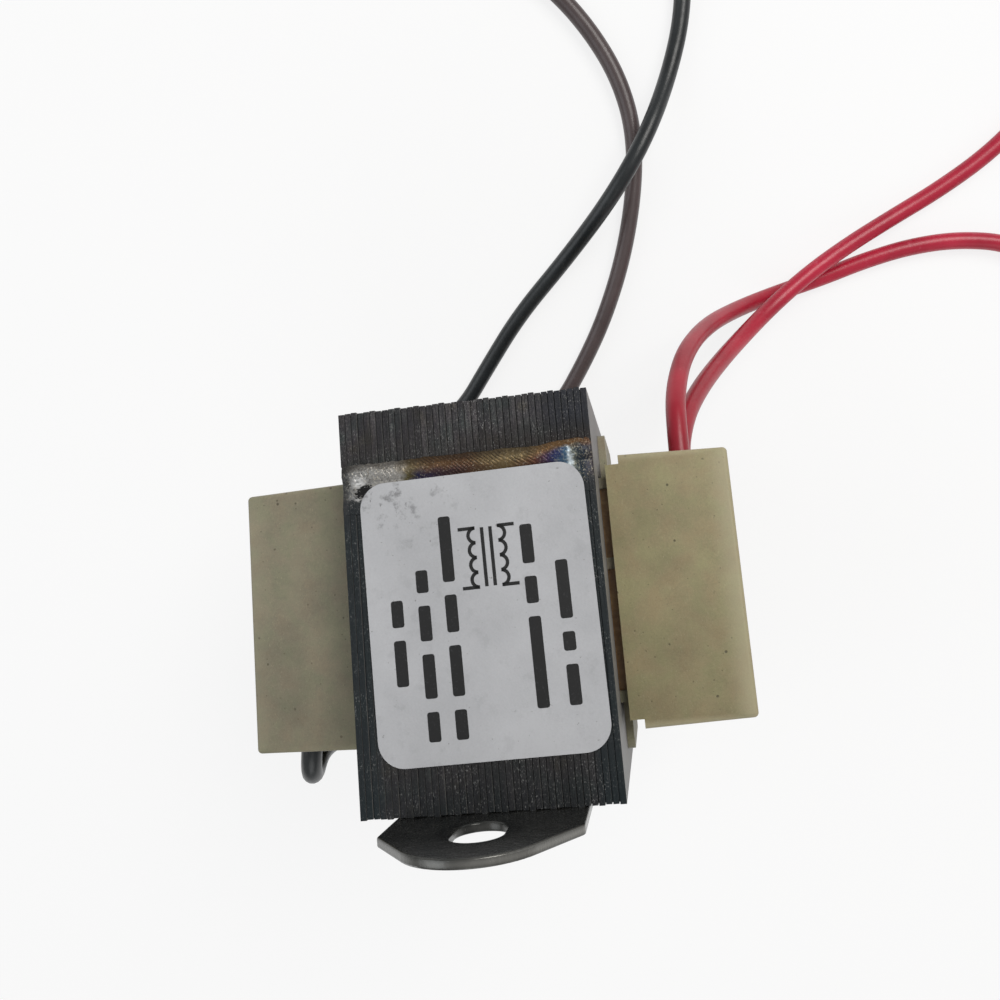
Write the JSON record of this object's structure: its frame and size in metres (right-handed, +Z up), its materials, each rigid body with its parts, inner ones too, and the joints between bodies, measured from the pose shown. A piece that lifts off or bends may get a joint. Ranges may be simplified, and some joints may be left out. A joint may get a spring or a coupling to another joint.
{
  "type": "control transformer",
  "caption": "Small open-core mains transformer: welded E and I laminations, moulded coil covers on both flat sides, a slotted mounting foot and loose stripped leads.",
  "frame": {"origin": "middle of the bottom of the part's box, without its leads, on the surface it lies on", "axes": "+Z up with the part lying on its back, label up; +Y from the foot towards the far end of the core; +X across the lamination stack, towards the cover with the red leads"},
  "size_m": [0.108, 0.1269, 0.0719],
  "materials": {
    "lamination_steel": "dark oxide, fine edges",
    "weld_metal": "heat tinted",
    "foot_steel": "dark, oily",
    "nylon": "satin",
    "magnet_wire": "enamelled",
    "coil_tape": "satin",
    "label_paper": "matte",
    "black_insulation": "satin",
    "brown_insulation": "satin",
    "red_insulation": "glossy",
    "tinned_strands": "tinned"
  },
  "bodies": {
    "root": {"e_lamination_stack": "lamination_steel", "i_lamination_stack": "lamination_steel", "weld_bead_front": "weld_metal", "weld_bead_back": "weld_metal", "foot_weld_left": "weld_metal", "foot_weld_right": "weld_metal", "foot_plate": "foot_steel", "bobbin": "nylon", "coil_cover_left": "nylon", "coil_cover_right": "nylon", "primary_winding": "magnet_wire", "secondary_winding": "magnet_wire", "primary_tape": "coil_tape", "secondary_tape": "coil_tape", "label": "label_paper", "black_lead": "black_insulation", "brown_lead": "brown_insulation", "red_lead_front": "red_insulation", "red_lead_rear": "red_insulation", "black_lead_end": "tinned_strands", "brown_lead_end": "tinned_strands", "red_lead_front_end": "tinned_strands", "red_lead_rear_end": "tinned_strands"}
  },
  "joints": []
}
